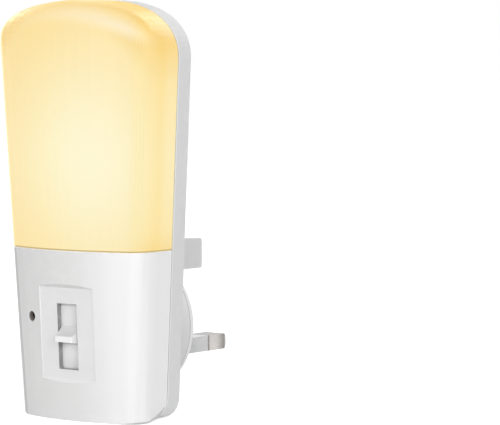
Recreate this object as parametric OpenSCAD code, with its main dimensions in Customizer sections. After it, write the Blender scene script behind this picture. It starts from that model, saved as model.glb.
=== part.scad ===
/* [Body] */
// Height of the whole body, from its flat underside to the crown of the lens
body_height = 106; // [98:1:118]
// Width of the body at the height of the crown
top_width = 51.6; // [48:0.2:56]
// Width of the body at its underside
bottom_width = 40.2; // [38:0.2:46]
// Depth of the lens in front of the parting plane, at the height of the crown
top_depth = 18.9; // [18:0.1:23]
// Depth of the front housing in front of the parting plane, at its underside
bottom_depth = 14.3; // [14:0.1:17]
// Depth of the rear housing behind the parting plane
rear_depth = 5; // [4.6:0.1:7]
// Height of the lower front housing, where the lens begins
base_height = 43.2; // [42:0.2:47]
// Radius of the gentle crown across the front
crown_r = 56; // [50:1:90]
// Radius of the two long front edges
edge_r = 5.5; // [4.5:0.1:6.5]
// Height of the rounded end of the outline, at the parting plane
arch_height = 15.3; // [13:0.1:18]
// Height of the same rounded end, at the front face
front_arch_height = 8.4; // [8:0.1:12]
// Fullness of the rounded end, where 2 is an ellipse
arch_fullness = 2.2; // [2:0.1:2.8]
// Radius from the front face over to the top
brow_r = 7; // [5.5:0.1:8]
// Radius of the two lower corners, at the parting plane
foot_r = 5.5; // [4:0.1:6.5]
// Radius of the two lower corners at the front, where the larger radius has run out
front_foot_r = 0.8; // [0.6:0.1:1.2]
// Distance in front of the parting plane at which the larger radius runs out
foot_reach = 8; // [7:0.5:9]

/* [Walls] */
// Wall of the lens
lens_wall = 1.4; // [1.2:0.1:1.6]
// Wall of the front housing
base_wall = 1.5; // [1.3:0.1:1.7]
// Wall of the rear housing, without the tongue
rear_wall = 1.6; // [1.4:0.1:1.9]
// Thickness of the tongue that locates the front parts
tongue_t = 0.8; // [0.6:0.1:1]
// Height of the tongue above the parting plane
tongue_height = 1.2; // [0.8:0.1:1.6]
// Thickness of the wall between the lens and the front housing
baffle_t = 1.5; // [1.2:0.1:2]
// Gap between parts that are assembled with play
play = 0.15; // [0.1:0.05:0.2]
// Width of the shadow line between the rear housing and the front parts
seam = 0.3; // [0.2:0.05:0.4]
// Width of the eased edges where the lens meets the front housing
eased = 0.2; // [0.15:0.05:0.3]

/* [Slider] */
// Height of the slot's centre above the underside
slot_height = 21.3; // [20.6:0.1:22]
// Length of the slot
slot_length = 16.6; // [16:0.1:17.2]
// Width of the slot
slot_width = 6.4; // [6.2:0.1:6.8]
// Thickness of the panel round the slot
panel_t = 1.3; // [1.1:0.1:1.5]
// Width of the flat panel that is sunk into the crowned front
panel_width = 18; // [17:0.2:19]
// Height of the flat panel
panel_height = 23.2; // [22.4:0.2:25]
// Height of the panel's centre above the slot's centre
panel_rise = 0.8; // [0.4:0.1:1.2]
// Height of the small step along the panel's two sides
panel_step = 0.2; // [0.1:0.05:0.3]
// Travel of the finger tab to each side of the slot's centre
half_travel = 5; // [4.6:0.1:5.2]
// Height of the finger tab above the slot's centre, as it is set
tab_rest = 0.5; // [-0.5:0.1:1]
// Height of the finger tab where it leaves the slot
tab_height = 4.2; // [3.8:0.1:4.6]
// Height of the finger tab's front lip
tab_lip = 1.5; // [1.3:0.1:1.8]
// How far the finger tab's underside rises towards the lip
tab_rise = 0.4; // [0.2:0.1:0.6]
// How far the finger tab stands out of the panel
tab_reach = 1.8; // [1.6:0.1:2.4]
// Radius of the finger tab's two front corners
tab_corner_r = 0.4; // [0.2:0.1:0.8]
// Running gap round the moving parts
run_gap = 0.2; // [0.2:0.05:0.3]
// Thickness of the strip that closes the slot from behind
strip_t = 0.8; // [0.7:0.1:0.9]
// Width of the same strip
strip_width = 9.4; // [9:0.1:10]

/* [Sensor] */
// Diameter of the hole that lets daylight in
sensor_hole_d = 2.6; // [2.2:0.1:2.8]
// Height of that hole above the underside
sensor_height = 25.8; // [25:0.1:27]
// Distance of that hole from the middle
sensor_offset = 12.5; // [12:0.1:13]
// Outer diameter of the tube behind the hole
sensor_tube_d = 5.4; // [5:0.1:5.8]
// Diameter of the light sensor
sensor_d = 3; // [2.8:0.1:3.2]

/* [Plug] */
// Height of the line and neutral pins above the underside
pin_height = 17.1; // [16.6:0.1:18]
// Distance between the centres of the line and neutral pins
pin_spacing = 22.23; // [22.2:0.01:22.3]
// Distance from their line up to the centre of the earth pin
earth_rise = 22.23; // [22.2:0.01:22.3]
// Width of a line or neutral pin
pin_width = 6.35; // [6.3:0.01:6.4]
// Thickness of a line or neutral pin
pin_t = 3.97; // [3.9:0.01:4]
// Length of a line or neutral pin from the plug's face
pin_length = 17.7; // [17.2:0.1:18.2]
// Width of the core that runs inside a pin's sleeve
core_width = 4.9; // [4.6:0.1:5.2]
// Thickness of that core
core_t = 2.6; // [2.4:0.1:2.8]
// Length of an insulating sleeve from the plug's face
sleeve_length = 9.5; // [9:0.1:9.5]
// Depth of a sleeve's seat in the plug base
sleeve_seat = 4; // [3:0.1:5]
// Width of the earth pin
earth_width = 3.97; // [3.9:0.01:4]
// Height of the earth pin's section
earth_section = 7.92; // [7.8:0.01:8]
// Length of the earth pin from the plug's face
earth_length = 22.73; // [22.2:0.01:23.2]
// Distance from the rear housing to the plug's face
boss_depth = 9.5; // [8:0.1:11]
// Radius of the round plug base
boss_r = 17.9; // [17.4:0.1:19]
// Height of the plug base's centre above the line and neutral pins
boss_rise = 5.7; // [4.8:0.1:6]
// Radius of the plug base's rim
rim_r = 1.1; // [0.6:0.1:1.6]
// Width of the pad round the earth pin
earth_pad_width = 12; // [11:0.2:14]
// Thickness of the plate that holds the pins from inside
retainer_t = 1.8; // [1.6:0.1:2]

/* [Electronics] */
// Thickness of the two circuit boards
board_t = 1.6; // [1.2:0.1:1.6]
// Distance from the parting plane forward to the front of the control board
board_stand = 3.1; // [2.8:0.1:3.4]
// Width of the control board
board_width = 31; // [30:0.2:32]
// Width of the light board
led_board_width = 30; // [28:0.2:32]
// Height of the light board
led_board_height = 48; // [44:0.5:50]
// Number of light rows, with two lights in a row
led_rows = 3; // [2:1:4]
// Distance between light rows
led_pitch = 13; // [11:0.5:13]
// Depth of the slide control's frame
dimmer_depth = 6.6; // [6:0.1:6.8]
// Length of the slide control's frame
dimmer_length = 24.4; // [22:0.1:25]
// Width of the slide control's frame
dimmer_width = 9.4; // [9:0.1:10]
// Diameter of the screws' threads
screw_d = 2; // [1.8:0.1:2.2]
// Diameter of the screws' heads
screw_head_d = 3.6; // [3.2:0.1:3.8]
// Clear distance between neighbours on the control board
part_gap = 0.6; // [0.5:0.1:0.8]

/* [Hidden] */
$fn = 48;
eps = 0.01;
cut = 1;

// Planes along Y: the plug's face is at 0 and the body lies in front of it
back_y = -boss_depth;
floor_y = back_y - rear_wall;
part_y = back_y - rear_depth;
board_back_y = part_y - board_stand + board_t;
board_front_y = part_y - board_stand;
// Levels along Z: the line and neutral pins are at 0
bottom_z = -pin_height;
split_z = bottom_z + base_height;
top_z = bottom_z + body_height;
slot_z = bottom_z + slot_height;
sensor_z = bottom_z + sensor_height;

// Steps of the curves in the moulded shells
side_steps = 4;
corner_steps = 7;
crown_steps = 12;
arch_steps = 15;
foot_steps = 6;

// The body tapers in width and in depth, both along straight lines
function along(z) = (z - bottom_z) / body_height;
function mix(a, b, t) = a + (b - a) * t;
function half_width(z) = mix(bottom_width, top_width, along(z)) / 2;
function depth(z) = mix(bottom_depth, top_depth, along(z));

// Half of a section across the body: side wall, edge and crown, as [x, distance from the parting plane]
function crown_centre(z) = depth(z) - crown_r;
function edge_centre_y(z) = crown_centre(z) + sqrt(pow(crown_r - edge_r, 2) - pow(half_width(z) - edge_r, 2));
function edge_angle(z) = asin((edge_centre_y(z) - crown_centre(z)) / (crown_r - edge_r));
function right_half(z, inset) = concat(
  [for (i = [0 : side_steps - 1]) [half_width(z) - inset, edge_centre_y(z) * i / side_steps]],
  [for (i = [0 : corner_steps - 1]) let (a = edge_angle(z) * i / corner_steps)
    [half_width(z) - edge_r + (edge_r - inset) * cos(a), edge_centre_y(z) + (edge_r - inset) * sin(a)]],
  [for (i = [0 : crown_steps / 2 - 1]) let (a = mix(edge_angle(z), 90, 2 * i / crown_steps))
    [(crown_r - inset) * cos(a), crown_centre(z) + (crown_r - inset) * sin(a)]]
);
function section(z, inset) = let (h = right_half(z, inset), n = len(h)) concat(
  h, [[0, depth(z) - inset]], [for (i = [n - 1 : -1 : 0]) [-h[i][0], h[i][1]]]);

// How much of the width is left in the rounded top, at a depth from 0 to 1, and in the lower corners
function arch_share(z, v, inset) =
  let (h = mix(arch_height, front_arch_height, v) - inset, u = (z - (top_z - inset - h)) / h)
  u <= 0 ? 1 : pow(max(0, 1 - pow(u, arch_fullness)), 1 / arch_fullness);
function foot_share(z, corner_r, inset) =
  let (r = max(eps, corner_r - inset), w = half_width(z) - inset, d = r - (z - bottom_z - inset))
  d <= 0 ? 1 : (w - r + sqrt(max(0, r * r - d * d))) / w;
// How much of the depth is left where the front face turns over to the top
function brow_share(z, inset) =
  let (r = brow_r - inset, d = z - (top_z - inset - r), full = depth(z) - inset)
  d <= 0 ? 1 : (full - r + sqrt(max(0, r * r - d * d))) / full;

// One ring of a shell, from its right end on the parting plane over the front to its left end
function ring(z, inset, corner_r) = let (full = depth(z) - inset) [
  for (p = section(z, inset))
    [p[0] * arch_share(z, p[1] / full, inset) * foot_share(z, corner_r, inset),
      part_y - p[1] * brow_share(z, inset), z]
];
// How far the outside lies in front of the parting plane at x
function front_at(x, z) = x < crown_r * cos(edge_angle(z))
  ? crown_centre(z) + sqrt(crown_r * crown_r - x * x)
  : edge_centre_y(z) + sqrt(edge_r * edge_r - pow(x - half_width(z) + edge_r, 2));
function arch_levels(inset) = let (h = arch_height - inset) [
  for (i = [0 : arch_steps]) top_z - inset - h * (1 - sin(88 * i / arch_steps))];
function foot_levels(corner_r, inset) = let (r = corner_r - inset) [
  for (i = [0 : foot_steps]) bottom_z + inset + r * (1 - cos(90 * i / foot_steps))];
// Levels with the inset of the ring at each
function at_inset(levels, inset) = [for (z = levels) [z, inset]];

// A level face across one ring whose first point is number b, made of strips from its right to its left side
function level_face(b, m) = let (last = b + m - 1) [
  for (j = [0 : (m - 3) / 2]) b + j + 1 < last - 1 - j
    ? [b + j, b + j + 1, last - 1 - j, last - j]
    : [b + j, b + j + 1, last - j]];
function turned(faces) = [for (f = faces) [for (i = [len(f) - 1 : -1 : 0]) f[i]]];
// A moulded shell, open at the parting plane: rings of its outside, then as many rings of its inside
module shell(outer_levels, inner_levels, outer_corner_r, open_bottom) {
  outer = [for (l = outer_levels) ring(l[0], l[1], outer_corner_r)];
  inner = [for (l = inner_levels) ring(l[0], l[1], foot_r)];
  m = len(outer[0]);
  n = len(outer);
  last = m - 1;
  top = (n - 1) * m;
  in = n * m;
  polyhedron(
    points = concat([for (r = outer) for (p = r) p], [for (r = inner) for (p = r) p]),
    faces = concat(
      [for (i = [0 : n - 2]) for (j = [0 : m - 2])
        [i * m + j, i * m + j + 1, (i + 1) * m + j + 1, (i + 1) * m + j]],
      [for (i = [0 : n - 2]) for (j = [0 : m - 2])
        [in + i * m + j, in + (i + 1) * m + j, in + (i + 1) * m + j + 1, in + i * m + j + 1]],
      [for (i = [0 : n - 2]) [i * m, (i + 1) * m, in + (i + 1) * m, in + i * m]],
      [for (i = [0 : n - 2])
        [i * m + last, in + i * m + last, in + (i + 1) * m + last, (i + 1) * m + last]],
      level_face(top, m),
      turned(level_face(in + top, m)),
      [[in + top, top, top + last, in + top + last]],
      open_bottom
        ? [for (j = [0 : m - 2]) [j + 1, j, in + j, in + j + 1]]
        : concat(turned(level_face(0, m)), level_face(in, m), [[0, in, in + last, last]])
    ),
    convexity = 6
  );
}

// A flat shape drawn in X and Z, with its rear face at y and its front face t in front of it
module plate(y, t) {
  translate([0, y, 0]) rotate([90, 0, 0]) linear_extrude(t) children();
}

// A block from its centre in X and Z, its rear face and its size
module block(x, y, z, w, t, h) {
  translate([x - w / 2, y - t, z - h / 2]) cube([w, t, h]);
}

// A round bar along Y, from its rear end
module rod(x, y, z, r, t) {
  translate([x, y, z]) rotate([90, 0, 0]) cylinder(r = r, h = t);
}

module rounded_rect(w, h, r) {
  square([w - 2 * r, h], center = true);
  square([w, h - 2 * r], center = true);
  for (sx = [-1, 1]) for (sz = [-1, 1]) translate([sx * (w / 2 - r), sz * (h / 2 - r)]) circle(r = r);
}

// The outline of the body at the parting plane, drawn in by inset
function outline_half(inset) = [
  for (z = concat(foot_levels(foot_r, inset), arch_levels(inset)))
    [(half_width(z) - inset) * arch_share(z, 0, inset) * foot_share(z, foot_r, inset), z]];
module outline(inset) {
  h = outline_half(inset);
  n = len(h);
  polygon(concat(h, [for (i = [n - 1 : -1 : 0]) [-h[i][0], h[i][1]]]));
}

/* The panel: its face is flat, leans with the front, and meets the crown at its two sides in a small step */
slope = atan((top_depth - bottom_depth) / body_height);
panel_sink = crown_r - sqrt(crown_r * crown_r - panel_width * panel_width / 4) + panel_step;
function panel_y(z) = part_y - depth(z) + panel_sink;
panel_z = slot_z + panel_rise;
// Origin on the panel's face at the slot's centre, Y into the body, Z along the slide
module on_panel() {
  translate([0, panel_y(slot_z), slot_z]) rotate([slope, 0, 0]) children();
}
module panel_cut() {
  low = panel_z - panel_height / 2;
  high = panel_z + panel_height / 2;
  out = panel_sink + cut;
  translate([-panel_width / 2, 0, 0]) rotate([90, 0, 90]) linear_extrude(panel_width)
    polygon([[panel_y(low), low], [panel_y(high), high], [panel_y(high) - out, high + out],
      [panel_y(low) - out, low - out]]);
}
// The strip covers the slot at both ends of the travel
strip_half = slot_length / 2 + half_travel + 0.3;
guide_w = 0.9;
guide_inner = strip_width / 2 + run_gap;
guide_depth = strip_t + run_gap + 0.4;
backing_half_w = guide_inner + guide_w + 1.4;

/* Places of what is fixed to the rear housing */
stand_r = 2.3;
pilot_r = screw_d / 2 - 0.2;
led_board_z = split_z + 3.4 + led_board_height / 2;
led_board_y = part_y;
led_holes = [[0, led_board_z - led_board_height / 2 + 3.4], [0, led_board_z + led_board_height / 2 - 3.4]];
post_r = 2.6;
post_x = half_width(split_z) - base_wall - post_r - 2.2;
post_z = split_z - baffle_t - post_r - 1.4;
post_y = floor_y - 0.1;
board_top_z = post_z - post_r - 0.8;
board_bottom_z = bottom_z + base_wall + 2.9;
board_tongue_x = post_x - post_r - 2.2;
low_holes = [board_width / 2 - 3.2, bottom_z + 7];
high_holes = [board_tongue_x - stand_r - 0.1, board_top_z + screw_head_d / 2 + part_gap];
board_holes = [for (h = [low_holes, high_holes]) for (s = [-1, 1]) [s * h[0], h[1]]];

/* Windows in the rear housing's floor, which hold the pins' heads */
head_margin = 1;
head_play = 0.1;
line_head = [pin_width + 2 * head_margin, pin_t + 2 * head_margin];
earth_head = [earth_width + 2 * head_margin, earth_section + 2 * head_margin];
pins_x = pin_spacing / 2;
retainer_screw_at = [[0, -1.5], [0, earth_rise - earth_head[1] / 2 - 3.4]];
retainer_low = -line_head[1] / 2 - 2.4;
retainer_high = earth_rise + earth_head[1] / 2 + 2;
retainer_neck_z = line_head[1] / 2 + 2.4;
tail_end_y = board_back_y + 1.4;

module lens() {
  color([1, 0.9, 0.68, 0.9])
    shell(concat([[split_z, eased], [split_z + eased, 0]], at_inset(arch_levels(0), 0)),
      at_inset(concat([split_z, split_z + eased], arch_levels(lens_wall)), lens_wall), foot_r, true);
}

// The ring of wall that stands up inside the lens's lower edge
lip_inset = lens_wall + play;
lip_t = 0.9;
lip_height = 2;
tongue_room_y = part_y - tongue_height - 2 * play;
function flat_section(z, inset) = [for (p = section(z, inset)) [p[0], part_y - p[1]]];
module lip() {
  low_z = split_z - baffle_t / 2;
  translate([0, 0, low_z]) linear_extrude(baffle_t / 2 + lip_height) difference() {
    polygon(flat_section(low_z, lip_inset));
    polygon(flat_section(low_z, lip_inset + lip_t));
    translate([-top_width, tongue_room_y]) square([2 * top_width, rear_depth]);
  }
}

module front_housing() {
  notch_w = 2 * board_tongue_x + 2;
  notch_y = board_front_y - 4;
  baffle_low = split_z - baffle_t - cut;
  post_end_y = part_y - front_at(post_x, post_z) + base_wall * 0.75;
  color([0.93, 0.93, 0.94])
  difference() {
    union() {
      shell(concat(at_inset(foot_levels(front_foot_r, 0), 0), [[split_z - eased, 0], [split_z, eased]]),
        at_inset(concat(foot_levels(foot_r, base_wall), [split_z - baffle_t - eased, split_z - baffle_t]),
          base_wall),
        front_foot_r, false);
      on_panel() backing();
      for (s = [-1, 1]) rod(s * post_x, post_y, post_z, post_r, post_y - post_end_y);
      lip();
    }
    for (s = [-1, 1]) foot_cut(s);
    panel_cut();
    on_panel() translate([0, panel_t + cut + strip_t, 0]) plate(0, panel_t + 2 * cut + strip_t)
      rounded_rect(slot_width, slot_length, 0.6);
    rod(-sensor_offset, part_y, sensor_z, sensor_hole_d / 2, top_depth + rear_depth);
    for (s = [-1, 1]) rod(s * post_x, post_y + cut, post_z, pilot_r, 8 + cut);
    translate([0, 0, baffle_low]) linear_extrude(baffle_t + lip_height + 2 * cut) {
      translate([-notch_w / 2, notch_y]) square([notch_w, rear_depth + 8]);
      translate([base_wall - half_width(split_z), tongue_room_y])
        square([2 * (half_width(split_z) - base_wall), rear_depth]);
    }
  }
}
// Cuts one lower corner (s = -1 or 1) round to the rear housing's corner, and less and less towards the front
module foot_cut(s) {
  centre_z = bottom_z + foot_r;
  drift = (foot_r - front_foot_r) * (1 - sqrt(0.5)) / foot_reach;
  lean = atan(drift * sqrt(2));
  cut_r = foot_r / sqrt((1 / pow(cos(lean), 2) + 1) / 2);
  translate([s * (half_width(centre_z) - foot_r), part_y, centre_z])
    rotate(a = lean, v = [1, 0, s]) rotate([90, 0, 0]) translate([0, 0, -cut]) linear_extrude(top_depth + cut)
      difference() {
        translate([s > 0 ? 0 : -2 * foot_r, -2 * foot_r]) square(2 * foot_r);
        circle(r = cut_r, $fn = 96);
      }
}
// Flat wall behind the panel with the two guides of the strip
module backing() {
  reach = strip_half + half_travel;
  buried = 0.3;
  low = -min(reach, slot_height - base_wall - 0.2);
  high = min(reach, base_height - slot_height - baffle_t);
  translate([-backing_half_w, buried, low]) cube([2 * backing_half_w, panel_t - buried, high - low]);
  for (s = [-1, 1])
    translate([s * (guide_inner + guide_w / 2) - guide_w / 2, buried, low])
      cube([guide_w, panel_t + guide_depth - buried, high - low]);
}

module rear_housing() {
  tongue_in = rear_wall + tongue_t;
  clip_y = part_y - tongue_height;
  color([0.86, 0.86, 0.87])
  difference() {
    union() {
      difference() {
        union() {
          plate(back_y, rear_depth - seam) outline(0);
          plate(back_y, rear_depth) outline(seam);
          plate(back_y - cut, rear_depth - cut + tongue_height) outline(rear_wall);
        }
        plate(floor_y, rear_depth + tongue_height + cut) outline(tongue_in);
      }
      for (p = board_holes) rod(p[0], floor_y + eps, p[1], stand_r, floor_y + eps - board_back_y);
      for (p = led_holes) rod(p[0], floor_y + eps, p[1], stand_r, floor_y + eps - led_board_y);
      for (s = [-1, 1]) block(s * led_board_width * 0.4, floor_y + eps, led_board_z, 1.2,
        floor_y + eps - led_board_y, led_board_height - 6);
    }
    for (p = board_holes) rod(p[0], floor_y, p[1], pilot_r, rear_depth + board_stand);
    for (p = led_holes) rod(p[0], floor_y, p[1], pilot_r, rear_depth + board_stand);
    for (s = [-1, 1]) {
      block(s * pins_x, back_y + cut, 0, line_head[0] + 2 * head_play, rear_wall + 2 * cut,
        line_head[1] + 2 * head_play);
      rod(s * post_x, back_y + cut, post_z, screw_d / 2 + 0.2, rear_wall + 2 * cut);
      rod(s * post_x, back_y + cut, post_z, screw_head_d / 2 + 0.2, 0.8 + cut);
    }
    block(0, back_y + cut, earth_rise, earth_head[0] + 2 * head_play, rear_wall + 2 * cut,
      earth_head[1] + 2 * head_play);
    for (p = retainer_screw_at) rod(p[0], back_y + cut, p[1], screw_d / 2 + 0.2, rear_wall + 2 * cut);
  }
}

module plug_base() {
  pad_top = earth_rise + earth_section / 2 + 3.2;
  color([0.88, 0.88, 0.89])
  difference() {
    union() {
      translate([0, 0, boss_rise]) rotate([90, 0, 0]) rotate_extrude($fn = 96) {
        square([boss_r - rim_r, boss_depth]);
        translate([0, rim_r]) square([boss_r, boss_depth - rim_r]);
        translate([boss_r - rim_r, rim_r]) circle(r = rim_r);
      }
      translate([0, 0, pad_top - earth_pad_width / 2])
        plate(0, boss_depth) rounded_rect(earth_pad_width, earth_pad_width, 2.5);
      plate(0, boss_depth) translate([-earth_pad_width / 2, boss_rise])
        square([earth_pad_width, pad_top - boss_rise - earth_pad_width / 2]);
    }
    for (s = [-1, 1]) {
      block(s * pins_x, cut, 0, pin_width + 2 * head_play, sleeve_seat + cut, pin_t + 2 * head_play);
      block(s * pins_x, cut, 0, core_width + 2 * head_play, boss_depth + 2 * cut, core_t + 2 * head_play);
    }
    block(0, cut, earth_rise, earth_width + 2 * head_play, boss_depth + 2 * cut,
      earth_section + 2 * head_play);
    for (p = retainer_screw_at) rod(p[0], back_y + 6, p[1], pilot_r, 6 + cut);
  }
}

// A bar along Y with an eased end, drawn by its widths in X and Z
module pin_bar(w, h, from_y, to_y, ease_x, ease_z) {
  intersection() {
    block(0, to_y, 0, w, to_y - from_y, h);
    translate([0, 0, -h]) linear_extrude(2 * h)
      polygon([[-w / 2, from_y], [-w / 2, to_y - ease_x], [-w / 2 + ease_x / 2, to_y],
        [w / 2 - ease_x / 2, to_y], [w / 2, to_y - ease_x], [w / 2, from_y]]);
    translate([-w, 0, 0]) rotate([90, 0, 90]) linear_extrude(2 * w) {
      translate([from_y, -h / 2]) square([to_y - from_y - ease_z, h]);
      translate([from_y, -h / 2 + ease_z]) square([to_y - from_y, h - 2 * ease_z]);
      for (s = [-1, 1]) translate([to_y - ease_z, s * (h / 2 - ease_z)]) circle(r = ease_z);
    }
  }
}
module live_pin_shape() {
  pin_bar(pin_width, pin_t, sleeve_length, pin_length, 1.6, 1.5);
  block(0, sleeve_length + eps, 0, core_width, sleeve_length + eps - tail_end_y, core_t);
  block(0, back_y - head_play, 0, line_head[0], rear_wall - head_play, line_head[1]);
}
module line_pin() {
  color([0.8, 0.79, 0.77]) translate([pins_x, 0, 0]) live_pin_shape();
}
module neutral_pin() {
  color([0.8, 0.79, 0.77]) translate([-pins_x, 0, 0]) live_pin_shape();
}
module sleeve_shape() {
  difference() {
    block(0, sleeve_length - head_play / 2, 0, pin_width, sleeve_length + sleeve_seat - head_play, pin_t);
    block(0, sleeve_length + cut, 0, core_width + head_play, boss_depth + sleeve_length + 2 * cut,
      core_t + head_play);
  }
}
module line_sleeve() {
  color([0.9, 0.9, 0.91]) translate([pins_x, 0, 0]) sleeve_shape();
}
module neutral_sleeve() {
  color([0.9, 0.9, 0.91]) translate([-pins_x, 0, 0]) sleeve_shape();
}

module earth_pin() {
  color([0.85, 0.85, 0.86]) translate([0, 0, earth_rise]) {
    pin_bar(earth_width, earth_section, back_y - rear_wall + head_play, earth_length, 0.8, 1.2);
    block(0, back_y - head_play, 0, earth_head[0], rear_wall - head_play, earth_head[1]);
  }
}

module pin_retainer() {
  wide = pin_spacing + line_head[0] + 4;
  neck = earth_head[0] + 5;
  color([0.75, 0.76, 0.78])
  difference() {
    union() {
      block(0, floor_y, (retainer_low + retainer_neck_z) / 2, wide, retainer_t,
        retainer_neck_z - retainer_low);
      block(0, floor_y, (retainer_low + retainer_high) / 2, neck, retainer_t, retainer_high - retainer_low);
    }
    for (s = [-1, 1])
      block(s * pins_x, floor_y + cut, 0, core_width + 2 * head_play, retainer_t + 2 * cut,
        core_t + 2 * head_play);
    for (p = retainer_screw_at) rod(p[0], floor_y + cut, p[1], screw_d / 2 + 0.2, retainer_t + 2 * cut);
  }
}

// A pan-head screw along Y with its head's seat at y, driven from the front (way 1) or from the back (way -1)
module screw(x, y, z, length, way) {
  translate([x, y, z]) rotate([way * 90, 0, 0]) {
    difference() {
      cylinder(d = screw_head_d, h = screw_d * 0.6);
      for (a = [0, 90]) rotate([0, 0, a])
        translate([-screw_head_d * 0.3, -0.25, screw_d * 0.3]) cube([screw_head_d * 0.6, 0.5, screw_d]);
    }
    translate([0, 0, -length]) cylinder(r = pilot_r - 0.02, h = length + eps);
  }
}
module retainer_screws() {
  color("silver") for (p = retainer_screw_at)
    screw(p[0], floor_y - retainer_t, p[1], retainer_t + rear_wall + 4.5, 1);
}
module board_screws() {
  color("silver") {
    for (p = board_holes) screw(p[0], board_front_y, p[1], board_t + 3, 1);
    for (p = led_holes) screw(p[0], led_board_y - board_t, p[1], board_t + 2.5, 1);
  }
}
module case_screws() {
  color("silver") for (s = [-1, 1]) screw(s * post_x, back_y - 0.8, post_z, rear_wall + 5, -1);
}

// A tag from the pin's tail through the control board
tag_t = 0.5;
leg_width = core_width - 2;
leg_z = core_t + 1 - tag_t / 2;
module tag_shape() {
  low = -core_t / 2;
  high = leg_z + tag_t / 2;
  block(0, tail_end_y, (low + high) / 2, core_width - 1, tag_t, high - low);
  block(0, tail_end_y, leg_z, leg_width, tail_end_y - board_front_y + 0.6, tag_t);
}
module line_tag() {
  color("gold") translate([pins_x, 0, 0]) tag_shape();
}
module neutral_tag() {
  color("gold") translate([-pins_x, 0, 0]) tag_shape();
}

module control_board() {
  color([0.12, 0.42, 0.24])
  plate(board_back_y, board_t) difference() {
    polygon([[-board_width / 2, board_bottom_z], [board_width / 2, board_bottom_z],
      [board_width / 2, board_top_z], [board_tongue_x, board_top_z],
      [board_tongue_x, split_z - baffle_t - 1.6], [-board_tongue_x, split_z - baffle_t - 1.6],
      [-board_tongue_x, board_top_z], [-board_width / 2, board_top_z]]);
    for (p = board_holes) translate(p) circle(r = screw_d / 2 + 0.2);
    for (s = [-1, 1]) translate([s * pins_x, leg_z]) square([leg_width + 0.2, tag_t + 0.2], center = true);
  }
}

module light_board() {
  color([0.95, 0.95, 0.93])
  plate(led_board_y, board_t) difference() {
    translate([0, led_board_z]) rounded_rect(led_board_width, led_board_height, 3);
    for (p = led_holes) translate(p) circle(r = screw_d / 2 + 0.2);
  }
}
led_x = led_board_width / 4;
led_low_z = led_board_z - (led_rows - 1) * led_pitch / 2;
led_size = [3.5, 0.8, 2.8];
module at_leds() {
  for (i = [0 : led_rows - 1]) for (s = [-1, 1])
    translate([s * led_x, led_board_y - board_t, led_low_z + i * led_pitch]) children();
}
module leds() {
  color([1, 0.9, 0.5]) at_leds() block(0, 0, 0, led_size[0], led_size[1], led_size[2]);
}
reflector_t = 0.8;
reflector_rim = 3;
module reflector() {
  color("white")
  difference() {
    plate(led_board_y - board_t, reflector_rim) translate([0, led_board_z])
      rounded_rect(led_board_width, led_board_height, 3);
    plate(led_board_y - board_t - reflector_t, reflector_rim) translate([0, led_board_z])
      rounded_rect(led_board_width - 1.6, led_board_height - 1.6, 2.2);
    at_leds() block(0, cut, 0, led_size[0] + 0.4, 2 * cut + reflector_t, led_size[2] + 0.4);
    for (p = led_holes) rod(p[0], led_board_y, p[1], screw_head_d / 2 + 0.3, board_t + reflector_rim);
    for (s = [-1, 0, 1]) rod(s * link_pitch, led_board_y, link_high_z, 0.9, board_t + reflector_rim);
  }
}

// Three wires from the control board over the baffle to the light board
link_pitch = 5;
link_low_z = split_z - baffle_t - 3.4;
link_high_z = led_board_z - led_board_height / 2 + 3.4;
link_r = 0.45;
link_bend = 1.5;
link_y = board_front_y - 3.2;
module quarter_bend(angle) {
  rotate([0, 0, 90]) rotate([90, 0, 0]) rotate([0, 0, angle])
    rotate_extrude(angle = 90, $fn = 32) translate([link_bend, 0]) circle(r = link_r, $fn = 16);
}
module link_wire(x) {
  translate([x, 0, 0]) {
    rod(0, board_front_y, link_low_z, link_r, board_front_y - link_y - link_bend);
    translate([0, link_y + link_bend, link_low_z + link_bend]) quarter_bend(180);
    translate([0, link_y, link_low_z + link_bend])
      cylinder(r = link_r, h = link_high_z - link_low_z - 2 * link_bend);
    translate([0, link_y + link_bend, link_high_z - link_bend]) quarter_bend(90);
    rod(0, led_board_y - board_t, link_high_z, link_r, led_board_y - board_t - link_y - link_bend);
  }
}
module link_wires() {
  color([0.85, 0.2, 0.15]) for (s = [-1, 1]) link_wire(s * link_pitch);
}

/* The slide control: knob, carriage and wiper move, frame and wafer stay */
tab_width = slot_width - 2 * run_gap;
strip_y = panel_t + run_gap;
socket = [5, 2, 4.4];
lever = [3, 2];
module at_rest() {
  on_panel() translate([0, 0, tab_rest]) children();
}
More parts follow.
